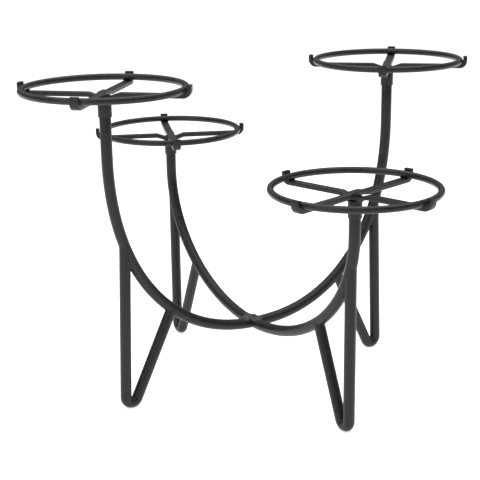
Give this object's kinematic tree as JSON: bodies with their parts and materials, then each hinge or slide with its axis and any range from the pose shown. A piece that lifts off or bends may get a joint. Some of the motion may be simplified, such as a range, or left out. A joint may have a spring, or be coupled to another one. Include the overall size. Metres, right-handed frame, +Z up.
{
  "type": "tiered bowl stand",
  "caption": "Tabletop display stand: crossed round-bar hoops on hairpin legs, with lift-off rings on the arm ends that hold bowls, plates or pots at different heights.",
  "frame": {"origin": "on the surface that the stand rests on, midway between the arm ends of each hoop", "axes": "+Z up; +X towards the tall hoop's right arm; -Y towards the short hoop's front arm"},
  "size_m": [0.4781, 0.4918, 0.3187],
  "materials": {
    "hoop_coat": "satin black powder coat",
    "leg_coat": "satin black powder coat",
    "ring_coat": "satin black powder coat",
    "strap_coat": "satin black powder coat, fine grain",
    "socket_coat": "satin black powder coat, fine grain"
  },
  "bodies": {
    "frame": {"tall_hoop": "hoop_coat", "short_hoop": "hoop_coat", "tall_left_leg": "leg_coat", "tall_right_leg": "leg_coat", "short_front_leg": "leg_coat", "short_back_leg": "leg_coat"},
    "tall_left_lift": {"tall_left_socket": "socket_coat"},
    "tall_left_holder": {"tall_left_ring": "ring_coat", "tall_left_lower_strap": "strap_coat", "tall_left_upper_strap": "strap_coat"},
    "tall_right_lift": {"tall_right_socket": "socket_coat"},
    "tall_right_holder": {"tall_right_ring": "ring_coat", "tall_right_lower_strap": "strap_coat", "tall_right_upper_strap": "strap_coat"},
    "short_front_lift": {"short_front_socket": "socket_coat"},
    "short_front_holder": {"short_front_ring": "ring_coat", "short_front_lower_strap": "strap_coat", "short_front_upper_strap": "strap_coat"},
    "short_back_lift": {"short_back_socket": "socket_coat"},
    "short_back_holder": {"short_back_ring": "ring_coat", "short_back_lower_strap": "strap_coat", "short_back_upper_strap": "strap_coat"}
  },
  "joints": [
    {"name": "tall_left_lift_off", "type": "slide", "parent": "frame", "child": "tall_left_lift", "axis": [0, 0, 1], "range_m": [0, 0.045]},
    {"name": "tall_left_turn", "type": "hinge", "parent": "tall_left_lift", "child": "tall_left_holder", "pos_m": [-0.162, 0, 0.314], "axis": [0, 0, 1], "continuous": true},
    {"name": "tall_right_lift_off", "type": "slide", "parent": "frame", "child": "tall_right_lift", "axis": [0, 0, 1], "range_m": [0, 0.045]},
    {"name": "tall_right_turn", "type": "hinge", "parent": "tall_right_lift", "child": "tall_right_holder", "pos_m": [0.162, 0, 0.314], "axis": [0, 0, 1], "continuous": true},
    {"name": "short_front_lift_off", "type": "slide", "parent": "frame", "child": "short_front_lift", "axis": [0, 0, 1], "range_m": [0, 0.045]},
    {"name": "short_front_turn", "type": "hinge", "parent": "short_front_lift", "child": "short_front_holder", "pos_m": [-0.0055, -0.1675, 0.233], "axis": [0, 0, 1], "continuous": true},
    {"name": "short_back_lift_off", "type": "slide", "parent": "frame", "child": "short_back_lift", "axis": [0, 0, 1], "range_m": [0, 0.045]},
    {"name": "short_back_turn", "type": "hinge", "parent": "short_back_lift", "child": "short_back_holder", "pos_m": [-0.0055, 0.1675, 0.233], "axis": [0, 0, 1], "continuous": true}
  ]
}
